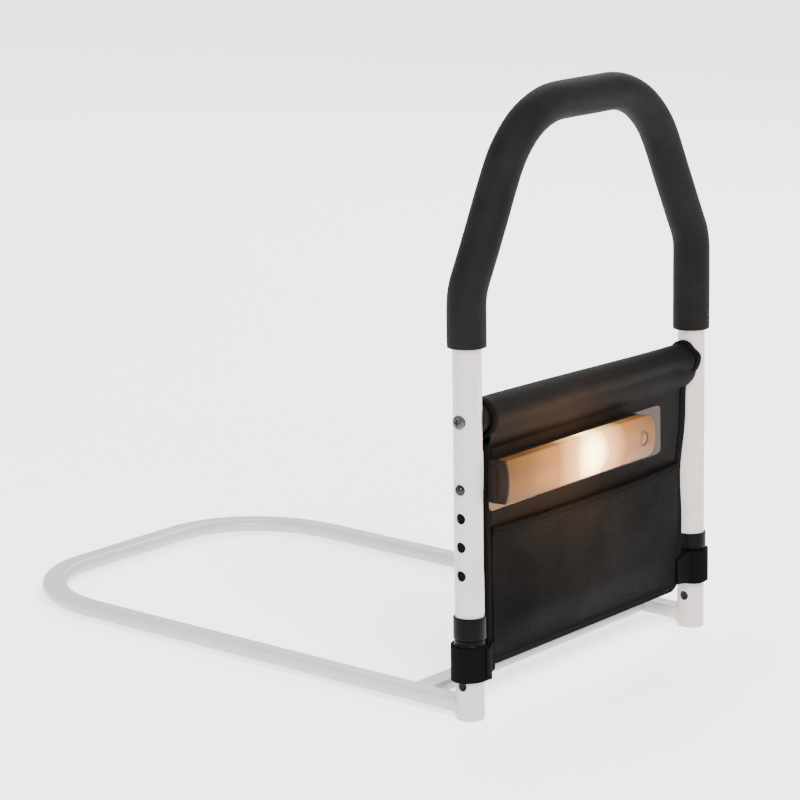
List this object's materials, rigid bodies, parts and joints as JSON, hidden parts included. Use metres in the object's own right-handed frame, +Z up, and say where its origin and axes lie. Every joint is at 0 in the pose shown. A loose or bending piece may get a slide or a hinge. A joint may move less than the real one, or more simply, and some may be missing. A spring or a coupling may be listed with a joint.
{
  "type": "bed assist rail",
  "caption": "Freestanding bed assist rail: under-mattress hoop, two posts, foam-covered height-adjustable handle, and a hanging fabric bag with a clip-on lamp.",
  "frame": {"origin": "on the floor, in the middle of the whole object's box", "axes": "+X along the bedside, +Y in under the mattress, +Z up"},
  "size_m": [0.348, 0.5004, 0.47],
  "materials": {
    "white_coat": "satin powder coat",
    "white_plug": "satin",
    "dark_tube": "dark coat",
    "black_plastic": "moulded, slightly worn",
    "steel": "zinc plated",
    "chrome_ball": "polished",
    "grip_foam": "soft closed-cell foam",
    "bag_cloth": "woven polyester",
    "bag_mesh": "spacer mesh",
    "binding_tape": "ribbed binding tape",
    "webbing": "hook-and-loop webbing",
    "clear_sheet": "clear film",
    "lamp_shell": "moulded",
    "lamp_cap": "moulded",
    "diffuser": "frosted",
    "circuit": "white solder mask",
    "cell_wrap": "shrink wrap",
    "light_chip": "phosphor",
    "sensor_dome": "translucent"
  },
  "bodies": {
    "base": {"base_hoop": "white_coat", "base_crossbar": "white_coat", "left_stub": "white_coat", "right_stub": "white_coat", "left_foot_plug": "white_plug", "right_foot_plug": "white_plug", "left_inner_tube": "dark_tube", "right_inner_tube": "dark_tube", "tube_rivets": "steel", "left_collar": "black_plastic", "right_collar": "black_plastic", "left_leaf_spring": "steel", "right_leaf_spring": "steel"},
    "left_button": {"left_snap_button": "chrome_ball"},
    "right_button": {"right_snap_button": "chrome_ball"},
    "lamp": {"lamp_tray": "lamp_shell", "lamp_magnets": "steel", "lamp_battery": "cell_wrap", "lamp_board": "circuit", "lamp_leds": "light_chip", "lamp_sensor": "steel", "lamp_diffuser": "diffuser", "lamp_end_cap": "lamp_cap", "lamp_end_screws": "steel", "lamp_sensor_ring": "lamp_shell", "lamp_sensor_lens": "sensor_dome", "lamp_charge_port": "steel"},
    "lamp_mode_switch": {"lamp_switch": "black_plastic"},
    "handle": {"handle_tube": "white_coat", "foam_grip": "grip_foam", "bag_bar": "white_coat", "bar_foam": "grip_foam", "bar_plugs": "steel", "bar_screws": "steel", "bag_sleeve": "bag_cloth", "bag_panel": "bag_cloth", "bag_binding": "binding_tape", "mesh_pocket": "bag_mesh", "pocket_hem": "binding_tape", "left_strap": "webbing", "right_strap": "webbing", "lamp_sheet": "clear_sheet", "lamp_strip": "steel"}
  },
  "joints": [
    {"name": "handle_slide", "type": "slide", "parent": "base", "child": "handle", "axis": [0, 0.0523, 0.9986], "range_m": [0, 0.066], "deforming": ["left_leaf_spring", "right_leaf_spring", "left_snap_button", "right_snap_button"]},
    {"name": "left_button_press", "type": "slide", "parent": "base", "child": "left_button", "axis": [1, 0, 0], "range_m": [0, 0.005], "stiffness_N_per_m": 800, "springref_m": -0.004},
    {"name": "right_button_press", "type": "slide", "parent": "base", "child": "right_button", "axis": [-1, 0, 0], "range_m": [0, 0.005], "stiffness_N_per_m": 800, "springref_m": -0.004},
    {"name": "lamp_pull_off", "type": "slide", "parent": "handle", "child": "lamp", "axis": [0, -0.9986, 0.0523], "range_m": [0, 0.03]},
    {"name": "lamp_mode_slide", "type": "slide", "parent": "lamp", "child": "lamp_mode_switch", "axis": [0, 0.0523, 0.9986], "range_m": [0, 0.004]}
  ]
}
